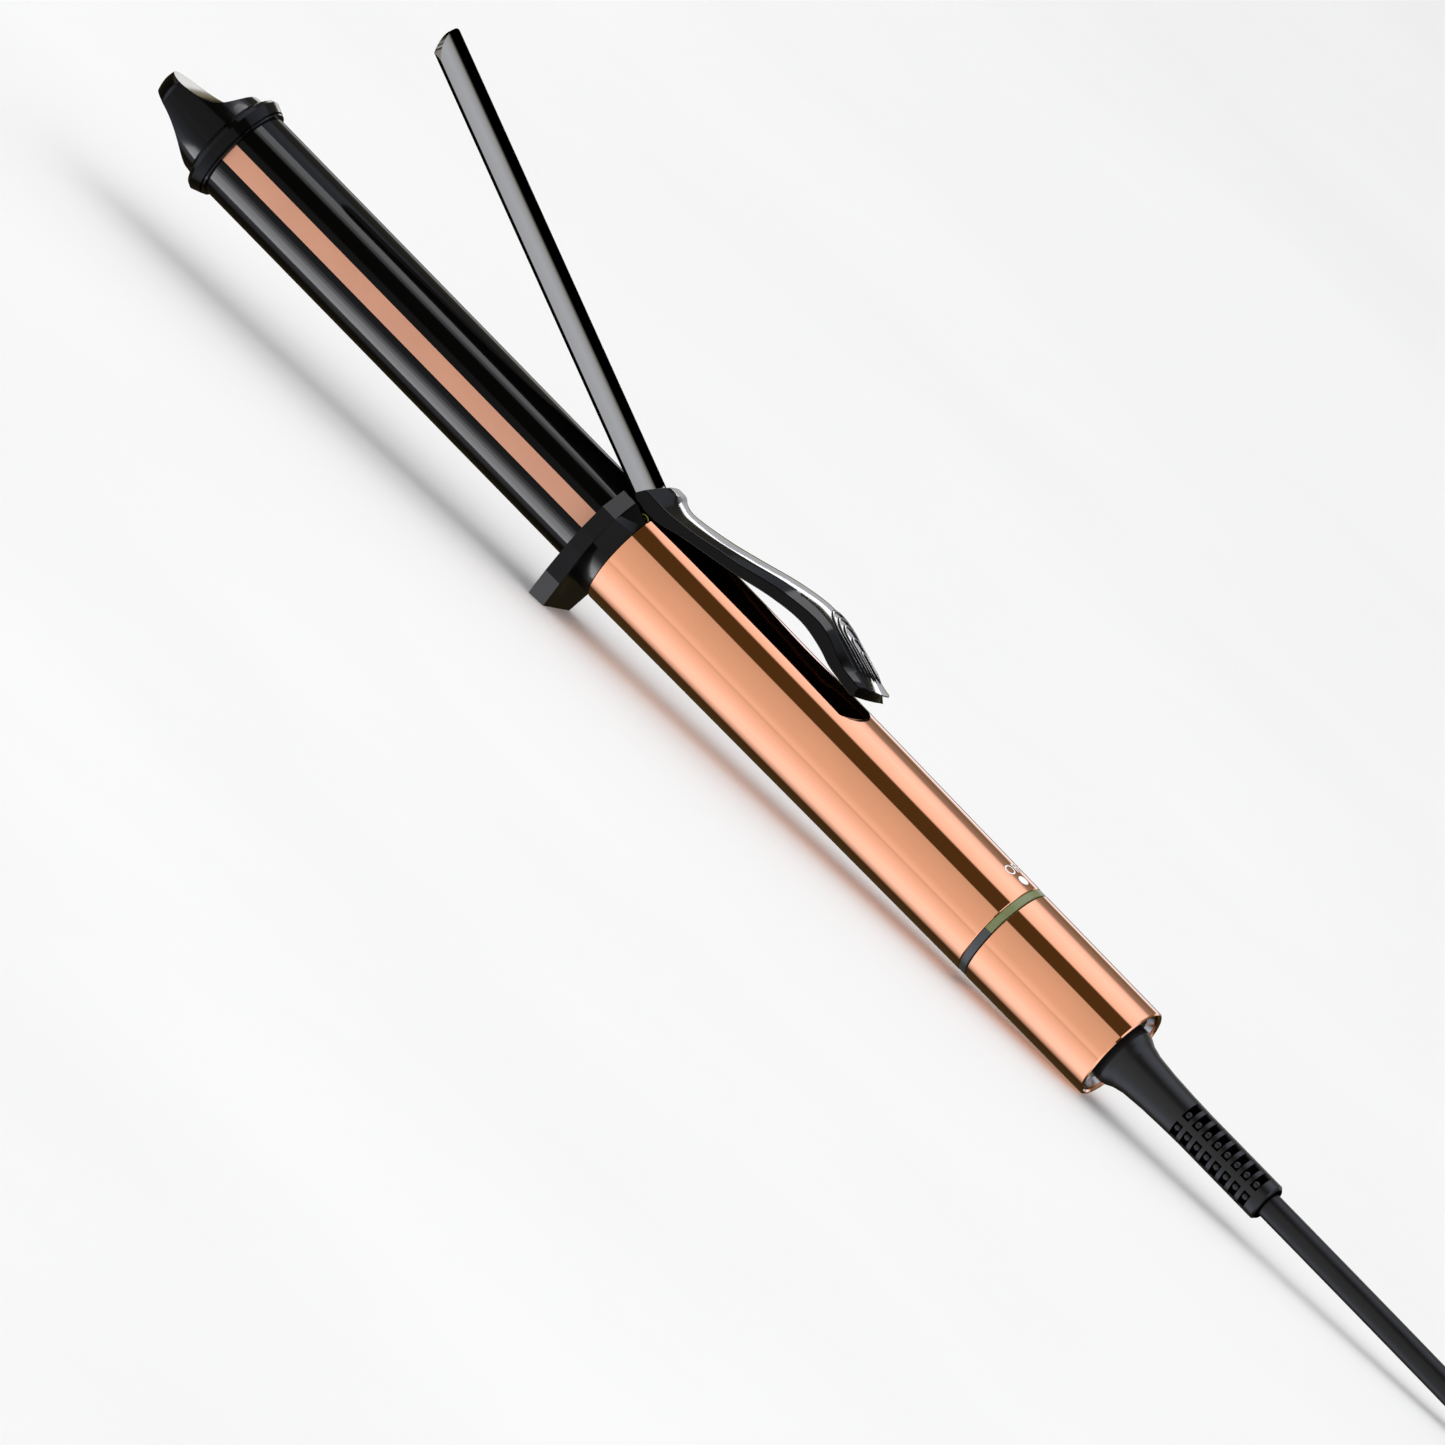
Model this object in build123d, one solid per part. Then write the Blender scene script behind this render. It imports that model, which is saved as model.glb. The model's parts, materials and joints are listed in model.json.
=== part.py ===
from build123d import *
import math
import os

# Hair curling iron lying on a table, as it is put down between uses. Millimetres, +Z up.
# Each piece is drawn in the iron's own axes: X along the barrel towards the cord, Z towards the
# thumb lever, X = 0 at the middle of the guard plate. placed() then tips the iron, so that it
# rests on its stand foot and its tail rim, and puts the origin at the middle of the foot's sole.

# ---- driving dimensions ----
BARREL_R = 12.5
BARREL_WALL = 1.0
BARREL_FRONT_X = -131.7
BARREL_BACK_X = 2.0
STRIP_WIDTH = 5.0
STRIP_THICK = 0.35
TIP_COLLAR_R = 14.7
TIP_BASE_R = 12.2
TIP_BASE_X = -137.4
TIP_END_X = -158.8
TIP_END_R = 9.3
TIP_UNDER_HALF = 3.3
TIP_UNDER_R = 26.0

PLATE_HALF = 2.45
PLATE_TOP_Z = 11.2
NECK_R = 14.5
RECESS_R = 20.0
RECESS_DEPTH = 1.2
FOOT_DROP = 22.85
FOOT_HALF_WIDTH = 11.25
NOTCH_HALF_WIDTH = 11.2
NOTCH_FLOOR_Z = 6.4

HANDLE_FRONT_X = 6.7
HANDLE_FRONT_R = 14.68
HANDLE_BACK_X = 136.9
HANDLE_BACK_R = 13.68
HANDLE_BORE_R = 12.3
SPIGOT_R = 13.15
SPIGOT_BACK_X = 13.0
RING_BACK_X = 139.1
DIAL_FRONT_X = 139.35
DIAL_FRONT_R = 13.65
TAIL_X = 180.0
TAIL_R = 13.5
CORE_R = 12.2
CORE_BORE_R = 10.6
SPINDLE_R = 10.3
SPINDLE_BACK_X = 172.0

PIVOT_X = 4.9
PIVOT_Z = 8.75
PIN_R = 0.8
PIN_HALF = 11.9
EAR_R = 1.75
OPEN_ANGLE = 20.0
BLADE_TURN_X = 8.0
BLADE_TURN_Z = 9.6
BLADE_IN_R = 12.7
BLADE_THICK = 1.5
BLADE_HALF_ANGLE = 47.3
BLADE_TIP_X = -124.3
BLADE_ROOT_X = 2.6
LEVER_HALF_WIDTH = 10.5
LEVER_END_X = 77.0

RELIEF_BASE_R = 8.3
RELIEF_BASE_X = 177.9
RELIEF_BACK_X = 231.7
RELIEF_RIB_R = 5.3
RELIEF_CORE_R = 3.8
RELIEF_ROWS = 8
RELIEF_PITCH = 3.4
STEM_R = 4.8
STEM_FRONT_X = 158.0

CORD_D = 6.8
CORD_PITCH = 7.0
HANK_FRONT_X = 364.0
HANK_RUN = 115.0
HANK_WAIST_IN = 8.4
TIE_THICK = 1.2
TIE_WIDTH = 14.0
PLUG_X = 453.0
PLUG_Y = 6.0

# ---- derived ----
TILT = math.degrees(math.atan2(FOOT_DROP - TAIL_R, TAIL_X))
HANK_HALF_WIDTH = 3 * CORD_D + CORD_PITCH + CORD_D / 2
HANK_HEIGHT = CORD_D + CORD_PITCH
HANK_MID_X = HANK_FRONT_X + HANK_RUN / 2
HANK_BACK_X = HANK_FRONT_X + HANK_RUN
PLUG_Z = HANK_HEIGHT + 6.9


def placed(shape):
    """The shape moved from the iron's own axes to where the iron lies on the table."""
    tipped = Rot(0, TILT, 0)
    sole = tipped * Pos(0, 0, -FOOT_DROP)
    return Pos(-sole.position.X, 0, -sole.position.Z) * tipped * shape


def opened(shape):
    """A clamp shape drawn closed on the barrel, swung up to the open rest position."""
    return Pos(BLADE_TURN_X, 0, BLADE_TURN_Z) * Rot(0, OPEN_ANGLE, 0) * Pos(-BLADE_TURN_X, 0, -BLADE_TURN_Z) * shape


def turned(*points):
    """Solid of revolution about the iron's axis from (x, radius) points."""
    return revolve(Plane.XZ * make_face(Polyline(*points, close=True)), Axis.X)


def rod(x0, x1, radius, y=0.0, z=0.0):
    """Cylinder along X from x0 to x1."""
    return Pos((x0 + x1) / 2, y, z) * Rot(0, 90, 0) * Cylinder(radius, x1 - x0)


def cross_rod(y0, y1, radius, x, z):
    """Cylinder along Y from y0 to y1."""
    return Pos(x, (y0 + y1) / 2, z) * Rot(90, 0, 0) * Cylinder(radius, abs(y1 - y0))


def pipe(x0, x1, outer, inner):
    """Straight tube along X."""
    return rod(x0, x1, outer) - rod(x0 - 1, x1 + 1, inner)


def block(x0, x1, y0, y1, z0, z1):
    """Box between two corners."""
    return Pos((x0 + x1) / 2, (y0 + y1) / 2, (z0 + z1) / 2) * Box(x1 - x0, y1 - y0, z1 - z0)


def yz_face(x, points):
    """Flat face across the iron at x, through (y, z) points."""
    return make_face(Polyline(*[(x, y, z) for y, z in points], close=True))


def group(shapes):
    """Several separate solids as one piece."""
    return Compound([solid for shape in shapes for solid in shape.solids()])


# ---- heated end ----
def make_barrel():
    """Thin tube with a shallow channel for an inlay strip along each side."""
    tube = pipe(BARREL_FRONT_X - 0.8, BARREL_BACK_X, BARREL_R, BARREL_R - BARREL_WALL)
    skin = pipe(BARREL_FRONT_X, BARREL_BACK_X - 4.2, BARREL_R + 1, BARREL_R - STRIP_THICK - 0.03)
    half = STRIP_WIDTH / 2 + 0.12
    return tube - (skin & block(BARREL_FRONT_X, 0, -20, 20, -half, half))


def make_strip(side):
    """Curved inlay strip in the barrel's channel."""
    skin = pipe(BARREL_FRONT_X + 0.1, BARREL_BACK_X - 4.4, BARREL_R, BARREL_R - STRIP_THICK)
    y0, y1 = sorted((side * 8.0, side * 20.0))
    return skin & block(BARREL_FRONT_X, 0, y0, y1, -STRIP_WIDTH / 2, STRIP_WIDTH / 2)


def tip_profile():
    """Half section of the cool tip: end dome, tapering nose, raised collar, groove and thin flange."""
    dome = [(TIP_END_X, 0), (TIP_END_X + 1.5, 4.9), (TIP_END_X + 5.6, TIP_END_R)]
    collar = [
        (TIP_BASE_X, TIP_BASE_R), (TIP_BASE_X + 1.3, 14.2), (TIP_BASE_X + 2.4, TIP_COLLAR_R),
        (TIP_BASE_X + 4.9, 13.75), (TIP_BASE_X + 4.9, 12.9), (TIP_BASE_X + 5.3, 12.9),
        (TIP_BASE_X + 5.3, 13.5), (BARREL_FRONT_X, 13.4), (BARREL_FRONT_X, 0),
    ]
    nose = Spline(dome[-1], (TIP_END_X + 12.0, 10.75), (TIP_BASE_X, TIP_BASE_R))
    return Plane.XZ * make_face(ThreePointArc(*dome) + nose + Polyline(*collar) + Line(collar[-1], dome[0]))


def tip_scoop():
    """The hollow above the nose: shallow over the end, then rising steeply to the collar."""
    floor = [
        (TIP_END_X - 2, 2.6), (TIP_END_X + 3.5, 2.65), (TIP_END_X + 10.6, 3.6), (TIP_END_X + 15.7, 5.9),
        (TIP_END_X + 19.4, 12.6),
    ]
    edge = Spline(*floor, tangents=((1, 0), (0.35, 1)))
    roof = Polyline(floor[-1], (TIP_END_X + 19.4, 20), (TIP_END_X - 2, 20), floor[0])
    return extrude(Plane.XZ * make_face(edge + roof), 30, both=True)


def make_tip_cap():
    """Cool tip: a raised collar, then a nose with a scoop above, hollowed less below."""
    nose = revolve(tip_profile(), Axis.X) - tip_scoop()
    nose -= cross_rod(-20, 20, TIP_UNDER_R, TIP_END_X, -TIP_UNDER_HALF - TIP_UNDER_R)
    spigot = pipe(BARREL_FRONT_X - 0.5, BARREL_FRONT_X + 7, BARREL_R - BARREL_WALL - 0.1, 9.6)
    seat = pipe(BARREL_FRONT_X - 0.85, BARREL_FRONT_X + 0.5, BARREL_R + 0.05, BARREL_R - BARREL_WALL - 0.05)
    boss = rod(BARREL_FRONT_X - 0.5, BARREL_FRONT_X + 6, 3.4)
    return nose + spigot + boss - seat - rod(BARREL_FRONT_X - 4, BARREL_FRONT_X + 7, 1.05)


def make_tip_bracket():
    """Pressed steel cup inside the barrel that the tip cap is screwed to."""
    x0 = BARREL_FRONT_X + 7.2
    cup = pipe(x0, x0 + 7, BARREL_R - BARREL_WALL - 0.05, BARREL_R - BARREL_WALL - 0.75)
    web = rod(x0, x0 + 0.8, BARREL_R - BARREL_WALL - 0.1)
    return cup + web - rod(x0 - 1, x0 + 2, 1.2)


def make_tip_screw():
    """Pan-head screw through the bracket into the tip cap's boss."""
    x0 = BARREL_FRONT_X + 8.05
    screw = rod(x0 - 11, x0, 1.0) + rod(x0, x0 + 1.6, 2.2)
    return screw - block(x0 + 0.8, x0 + 2, -0.3, 0.3, -3, 3) - block(x0 + 0.8, x0 + 2, -3, 3, -0.3, 0.3)


def make_heater_block(side):
    """Hollow D-shaped aluminium extrusion that presses the heater against the barrel."""
    outer = rod(-110, -30, 11.35) - rod(-112, -28, 10.1)
    floor = block(-110, -30, -10.2, 10.2, 2.1, 3.3)
    half = outer & block(-112, -28, -12, 12, 2.1, 12)
    shape = half + floor
    return shape if side > 0 else mirror(shape, Plane.XY)


def make_ptc_heater():
    """Flat ceramic heater with its two electrodes."""
    return block(-105, -35, -7.6, 7.6, -2.0, 2.0)


def make_thermistor():
    """Temperature sensor bead on the upper block's floor, with its stub of lead."""
    return rod(-64, -58, 1.1, 0, 4.45) + rod(-58.2, -30, 0.5, 0, 4.45)


def make_bushing():
    """Heat-proof bushing: a plug in the barrel, and a neck that the handle's core grips."""
    body = turned(
        (-12, 4.6), (-12, 11.4), (BARREL_BACK_X - 0.1, 11.4), (BARREL_BACK_X - 0.1, 7.8), (22, 7.8),
        (22, 9.2), (25, 9.2), (25, 7.8), (34, 7.8), (34, 4.6),
    )
    return body


def make_thermal_fuse():
    """One-shot thermal fuse on the heater's live lead."""
    return rod(12, 22, 1.8, 0, 1.6) + rod(7, 12.2, 0.5, 0, 1.6) + rod(21.8, 29, 0.5, 0, 1.6)


def make_heater_leads():
    """Two insulated leads from the heater to the circuit board."""
    leads = []
    for y in (-2.2, 2.2):
        path = FilletPolyline((-34.8, y, 0), (36, y, 0), (44, y, -1.9), (50, y, -1.9), radius=6)
        leads.append(sweep(Plane(origin=path @ 0, z_dir=path % 0) * Circle(0.7), path))
    return group(leads)


# ---- guard and hinge ----
def make_guard():
    """Guard plate with its stand foot, hinge cheeks, neck and handle spigot."""
    slope = math.tan(math.radians(TILT))
    foot = FOOT_DROP
    outline = [
        (-FOOT_HALF_WIDTH, -foot - 1), (-FOOT_HALF_WIDTH - 3.6, -15.6), (-17.4, -6.5), (-18.0, -1.5),
        (-17.4, 5.6), (-12.8, PLATE_TOP_Z), (12.8, PLATE_TOP_Z), (17.4, 5.6), (18.0, -1.5), (17.4, -6.5),
        (FOOT_HALF_WIDTH + 3.6, -15.6), (FOOT_HALF_WIDTH, -foot - 1),
    ]
    plate = Pos(-PLATE_HALF, 0, 0) * extrude(yz_face(0, outline), PLATE_HALF * 2, dir=(1, 0, 0))
    sole = extrude(
        Plane.XZ * make_face(Polyline(
            (-9, -foot - 9 * slope), (9, -foot + 9 * slope), (9, -foot - 9), (-9, -foot - 9), close=True
        )),
        30, both=True,
    )
    plate -= sole
    plate -= turned(
        (PLATE_HALF, RECESS_R), (PLATE_HALF - RECESS_DEPTH, NECK_R - 0.1), (PLATE_HALF + 1, NECK_R - 0.1),
        (PLATE_HALF + 1, RECESS_R),
    )
    neck = rod(0, HANDLE_FRONT_X, NECK_R)
    cheeks = None
    for side in (-1, 1):
        front = [(8, -2.8), (17.75, -2.2), (17.4, 5.6), (15.4, 6.9), (12.8, 11.1), (8, 11.1)]
        back = [(8, -2.8), (14.35, -2.8), (13.45, 5.6), (12.0, 8.15), (11.3, 9.25), (8, 9.25)]
        sections = [
            yz_face(x, [(side * y, z) for y, z in points])
            for x, points in ((PLATE_HALF - RECESS_DEPTH, front), (PLATE_HALF, front), (HANDLE_FRONT_X, back))
        ]
        cheek = loft(sections, ruled=True)
        cheeks = cheek if cheeks is None else cheeks + cheek
    spigot = pipe(HANDLE_FRONT_X - 0.2, SPIGOT_BACK_X, SPIGOT_R, 11.6)
    guard = plate + neck + cheeks + spigot
    guard -= rod(-5, BARREL_BACK_X + 0.1, BARREL_R + 0.06)
    guard -= rod(-5, 20, 7.95)
    guard -= block(-5, 15, -NOTCH_HALF_WIDTH, NOTCH_HALF_WIDTH, NOTCH_FLOOR_Z, 30)
    guard -= cross_rod(-PIN_HALF - 0.05, PIN_HALF + 0.05, PIN_R + 0.03, PIVOT_X, PIVOT_Z)
    return guard


def make_pivot_pin():
    """Steel hinge pin held between the guard's cheeks."""
    return cross_rod(-PIN_HALF, PIN_HALF, PIN_R, PIVOT_X, PIVOT_Z)


def make_springs():
    """Two small torsion springs on the pivot pin, one beside each hinge ear."""
    wire = 0.34
    coil_r = 1.4
    pitch = 0.8
    turns = 2.0
    springs = []
    for side in (-1, 1):
        start = Pos(PIVOT_X, side * 7.15, PIVOT_Z) * Rot(-90 * side, 0, 0)
        helix = start * Helix(pitch=pitch, height=pitch * turns, radius=coil_r)
        coil = sweep(Plane(origin=helix @ 0, z_dir=helix % 0) * Circle(wire), helix, is_frenet=True)
        springs.append(coil)
    return group(springs)


def blade_sheet(x0, x1, inner, outer, half_angle):
    """Curved sheet over the barrel's top, with its far end rounded."""
    reach = outer + 8
    half = math.radians(half_angle)
    wedge = yz_face(x0, [(0, 0), (reach * math.sin(half), reach * math.cos(half)), (0, reach * 1.6),
                         (-reach * math.sin(half), reach * math.cos(half))])
    return pipe(x0, x1, outer, inner) & extrude(wedge, x1 - x0, dir=(1, 0, 0))


def make_blade():
    """Clamp blade: a curved sheet with a half-round tip, let into the lever's socket."""
    outer = BLADE_IN_R + BLADE_THICK
    sheet = blade_sheet(BLADE_TIP_X, BLADE_ROOT_X, BLADE_IN_R, outer, BLADE_HALF_ANGLE)
    half = outer * math.sin(math.radians(BLADE_HALF_ANGLE)) + 0.05
    plan = Pos(BLADE_TIP_X + half * 0.8, 0, 0) * scale(Cylinder(half, 60), by=(0.8, 1, 1))
    plan += block(BLADE_TIP_X + half * 0.8, BLADE_ROOT_X + 1, -half, half, -30, 30)
    blade = sheet & plan
    for y in (-4, 4):
        blade -= Pos(0.4, y, 13) * Cylinder(0.95, 6)
    return opened(blade)


def make_blade_screws():
    """Two flush screws from under the blade's root into the lever's socket."""
    screws = []
    for y in (-4, 4):
        under = math.sqrt(BLADE_IN_R**2 - y * y) + 0.35
        screws.append(opened(Pos(0.4, y, under + 1.3) * Cylinder(0.9, 2.6)))
    return group(screws)


def lever_section(x, bottom, arch, top, crown, flat):
    """One closed section across the lever: arched underside, upright sides, bevels and a crown."""
    w = LEVER_HALF_WIDTH
    shoulder = top + crown * (0.97 if x < 5 else 0.62)
    edges = [
        ThreePointArc((x, -w, bottom), (x, 0, bottom + arch), (x, w, bottom)),
        Line((x, w, bottom), (x, w, top)),
        Line((x, w, top), (x, flat, shoulder)),
        ThreePointArc((x, flat, shoulder), (x, 0, top + crown), (x, -flat, shoulder)),
        Line((x, -flat, shoulder), (x, -w, top)),
        Line((x, -w, top), (x, -w, bottom)),
    ]
    return make_face(edges)


# x, side's lower edge, underside's arch, side's upper edge, crown above it, half-width of the crown
LEVER_SECTIONS = [
    (-4.0, 10.6, 3.0, 14.7, 3.9, 4.5),
    (3.0, 10.9, 3.0, 14.75, 3.9, 4.6),
    (10.8, 11.6, 3.2, 15.0, 2.3, 6.0),
    (21.5, 14.1, 2.2, 16.8, 2.3, 6.6),
    (30.5, 15.8, 2.2, 18.4, 2.8, 6.8),
    (40.4, 17.9, 2.2, 20.9, 3.0, 7.0),
    (49.4, 19.1, 2.2, 22.4, 3.1, 7.0),
    (56.0, 18.7, 2.2, 22.1, 3.1, 7.0),
    (62.0, 17.4, 2.2, 20.7, 3.1, 7.0),
    (68.5, 16.2, 2.2, 19.1, 2.9, 7.0),
    (LEVER_END_X + 1, 15.8, 2.2, 18.5, 2.2, 7.0),
]


def make_lever():
    """Thumb lever: socket for the blade, hinge ears, a bowed arm and a thumb pad."""
    body = loft([lever_section(*row) for row in LEVER_SECTIONS])
    front = Pos(3.2, 0, 18.55) * Rot(0, 33.7, 0) * Pos(-15, 0, 0) * Box(30, 40, 60)
    plan = Pos(LEVER_END_X - 12, 0, 15) * scale(Cylinder(LEVER_HALF_WIDTH + 3.6, 60), by=(0.852, 1, 1))
    plan += block(-10, LEVER_END_X - 12, -20, 20, -10, 40)
    body = (body - front) & plan
    for side in (-1, 1):
        y0, y1 = sorted((side * 4.4, side * 6.7))
        ear = cross_rod(y0, y1, EAR_R, PIVOT_X, PIVOT_Z)
        ear += block(PIVOT_X - EAR_R, PIVOT_X + 1.2, y0, y1, PIVOT_Z, 15.6)
        body += ear
    barrel_room = opened(rod(-30, BARREL_BACK_X + 1.4, BLADE_IN_R - 0.02))
    handle_room = turned((HANDLE_FRONT_X - 0.5, 0), (HANDLE_FRONT_X - 0.5, HANDLE_FRONT_R + 0.5),
                         (HANDLE_BACK_X, HANDLE_BACK_R + 0.5), (HANDLE_BACK_X, 0))
    handle_room -= block(0, 9, -9, 9, 0, 12.2)
    swung = Pos(PIVOT_X, 0, PIVOT_Z) * Rot(0, -3, 0) * Pos(-PIVOT_X, 0, -PIVOT_Z) * handle_room
    body -= barrel_room
    body -= handle_room
    body -= swung
    body -= opened(blade_sheet(-20, BLADE_ROOT_X + 0.1, BLADE_IN_R - 0.05, BLADE_IN_R + BLADE_THICK + 0.05,
                               BLADE_HALF_ANGLE + 0.3))
    for y in (-4, 4):
        under = math.sqrt(BLADE_IN_R**2 - y * y) + 0.3
        body -= opened(Pos(0.4, y, under + 1.4) * Cylinder(0.95, 2.8))
    body -= cross_rod(-12, 12, PIN_R + 0.06, PIVOT_X, PIVOT_Z)
    return body.solids().sort_by(SortBy.VOLUME)[-1]


# ---- handle ----
def make_handle():
    """Tapered outer tube of the handle."""
    shell = turned(
        (HANDLE_FRONT_X, SPIGOT_R + 0.05), (HANDLE_FRONT_X, HANDLE_FRONT_R - 0.3),
        (HANDLE_FRONT_X + 0.3, HANDLE_FRONT_R), (HANDLE_BACK_X - 0.2, HANDLE_BACK_R),
        (HANDLE_BACK_X, HANDLE_BACK_R - 0.2), (HANDLE_BACK_X, HANDLE_BORE_R), (SPIGOT_BACK_X + 0.1, HANDLE_BORE_R),
        (SPIGOT_BACK_X + 0.1, SPIGOT_R + 0.05),
    )
    return shell - block(5, HANDLE_FRONT_X + 0.4, -NOTCH_HALF_WIDTH, NOTCH_HALF_WIDTH, NOTCH_FLOOR_Z, 12.2)


SCREW_SPOTS = [(42.0, 7.2), (124.0, 7.2)]


def make_core(side):
    """Half of the inner core: grips the bushing's neck, holds the board, carries the dial."""
    tube = turned(
        (SPIGOT_BACK_X + 0.3, 7.85), (SPIGOT_BACK_X + 0.3, CORE_R), (HANDLE_BACK_X - 0.3, CORE_R),
        (HANDLE_BACK_X - 0.3, SPINDLE_R), (SPINDLE_BACK_X, SPINDLE_R), (SPINDLE_BACK_X, 9.3), (134, 9.3),
        (132, CORE_BORE_R), (36, CORE_BORE_R), (33, 7.85), (25.1, 7.85), (25.1, 9.3), (21.9, 9.3), (21.9, 7.85),
    )
    y0, y1 = (0.03, 20) if side > 0 else (-20, -0.03)
    half = tube & block(0, 200, y0, y1, -20, 20)
    low, high = sorted((side * 8.2, side * 11.6))
    for x in (52, 84, 114):
        half += rod(x, x + 4, CORE_R - 0.3) & block(x, x + 4, low, high, -5.4, -4.05)
        half += rod(x, x + 4, CORE_R - 0.3) & block(x, x + 4, low, high, -2.75, -1.6)
    for x, z in SCREW_SPOTS:
        half += rod(x - 4, x + 4, CORE_R - 0.3) & cross_rod(side * 0.03, side * 8.6, 2.3, x, z)
        half -= cross_rod(-20, 20, 0.95, x, z)
        half -= cross_rod(side * 5.2, side * 14, 1.9, x, z)
    return half


def make_core_screws():
    """Two screws that hold the core's halves together."""
    screws = []
    for x, z in SCREW_SPOTS:
        screws.append(cross_rod(-5.15, 5.0, 0.9, x, z) + cross_rod(-6.7, -5.25, 1.7, x, z))
    return group(screws)


def make_board():
    """Main circuit board."""
    return block(48, 122, -9.0, 9.0, -4.0, -2.8)


def make_triac():
    """Power switch with its bent heat-sink plate."""
    body = block(60, 70, -2.2, 2.2, -2.75, 1.6)
    sink = block(58, 72, 2.3, 3.5, -2.75, 7.0) + block(58, 72, -3.0, 2.4, 5.8, 7.0)
    return group([body, sink])


def make_capacitor():
    """Film capacitor across the mains."""
    return fillet(block(78, 91, -3.2, 3.2, -2.75, 6.2).edges().filter_by(Axis.Z), 0.8)


def make_controller():
    """Flat controller chip with legs along both sides."""
    chip = block(97, 107, -2.0, 2.0, -2.6, -1.2)
    legs = [block(x, x + 0.5, -3.1, 3.1, -2.78, -2.3) for x in (98, 99.7, 101.4, 103.1, 104.8)]
    for leg in legs:
        chip += leg
    return chip


def make_lamp_board():
    """Ring-shaped board inside the core, behind the light ring."""
    return pipe(128, 129.2, 10.5, 5.5)


def make_lamps():
    """Status lamps on the ring board's back face."""
    lamps = []
    for degrees in (20, 65, 115, 160):
        a = math.radians(degrees)
        lamps.append(rod(129.25, 131.4, 0.9, 8.4 * math.cos(a), 8.4 * math.sin(a)))
    return group(lamps)


def make_ring(side):
    """Half of the band between the handle and the dial: +1 the clear light ring, -1 the dark spacer."""
    x0 = HANDLE_BACK_X + 0.08
    band = turned(
        (x0, SPINDLE_R + 0.05), (x0, HANDLE_BACK_R - 0.25), (x0 + 0.2, HANDLE_BACK_R - 0.08),
        (RING_BACK_X - 0.2, HANDLE_BACK_R - 0.08), (RING_BACK_X, HANDLE_BACK_R - 0.25), (RING_BACK_X, SPINDLE_R + 0.05),
    )
    z0, z1 = (0.02, 20) if side > 0 else (-20, -0.02)
    return band & block(130, 150, -20, 20, z0, z1)


def make_dial():
    """Temperature dial: the turning sleeve at the handle's tail, on two inner bearing ribs."""
    sleeve = turned(
        (DIAL_FRONT_X, SPINDLE_R + 0.1), (DIAL_FRONT_X, DIAL_FRONT_R - 0.2), (DIAL_FRONT_X + 0.2, DIAL_FRONT_R),
        (TAIL_X - 0.35, TAIL_R), (TAIL_X, TAIL_R - 0.35), (TAIL_X, TAIL_R - 0.75), (TAIL_X - 0.45, 12.3),
        (172.0, 12.3), (171.0, SPINDLE_R + 0.1), (168.5, SPINDLE_R + 0.1), (168.0, 12.2), (142.4, 12.2),
        (141.9, SPINDLE_R + 0.1),
    )
    for step in range(6):
        sleeve -= Rot(30 * step - 60, 0, 0) * rod(141.0, 143, 0.5, 0, SPINDLE_R + 0.3)
    return sleeve


def make_wiper():
    """Sprung contact arm fixed inside the dial."""
    arc = pipe(150, 154, 12.1, 11.75) & block(149, 155, -6, 6, 0, 20)
    return arc + (pipe(151, 153, 11.8, 10.85) & block(150, 154, -1.0, 1.0, 0, 20))


def make_track():
    """Printed contact track wrapped round the core's spindle."""
    return pipe(147, 158, SPINDLE_R + 0.32, SPINDLE_R + 0.04)


def make_detent():
    """Detent finger on the spindle that the dial clicks past."""
    base = pipe(143.2, 146.2, 11.2, SPINDLE_R + 0.03) & block(143, 147, -2.5, 2.5, 0, 20)
    return base


def make_tail_bushing():
    """Bright ring inside the dial's rim that keeps the dial on its spindle."""
    return turned(
        (172.25, 8.65), (172.25, 12.15), (179.0, 12.15), (179.3, 11.9), (179.3, 11.4), (177.6, 10.8),
        (176.8, 9.8), (177.3, 9.1), (177.3, 8.65),
    )


# ---- swivel and strain relief ----
def make_swivel_housing():
    """Cup in the spindle that the swivel stem turns in."""
    return turned(
        (156.5, 0), (156.5, 9.2), (171.9, 9.2), (171.9, STEM_R + 0.1), (168.6, STEM_R + 0.1), (168.6, 6.4),
        (157.6, 6.4), (157.6, 0),
    )


def make_stem():
    """Swivel stem moulded to the strain relief."""
    return turned(
        (STEM_FRONT_X, 0), (STEM_FRONT_X, STEM_R - 0.6), (159.2, STEM_R - 0.6), (159.2, STEM_R),
        (RELIEF_BASE_X - 0.05, STEM_R), (RELIEF_BASE_X - 0.05, 0),
    )


def make_slip_rings():
    """Two brass slip rings on the stem."""
    return group([pipe(x, x + 2.2, STEM_R + 0.45, STEM_R + 0.02) for x in (160.4, 164.6)])


def make_brushes():
    """Two sprung brushes in the housing that touch the slip rings."""
    return group([block(x + 0.4, x + 1.8, -1.2, 1.2, STEM_R + 0.62, 6.3) for x in (160.4, 164.6)])


def make_stem_clip():
    """Retaining clip that keeps the stem in its housing."""
    ring = pipe(167.3, 168.1, 6.0, STEM_R + 0.02)
    return ring - block(167, 169, -2.2, 2.2, -8, 0)


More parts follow.
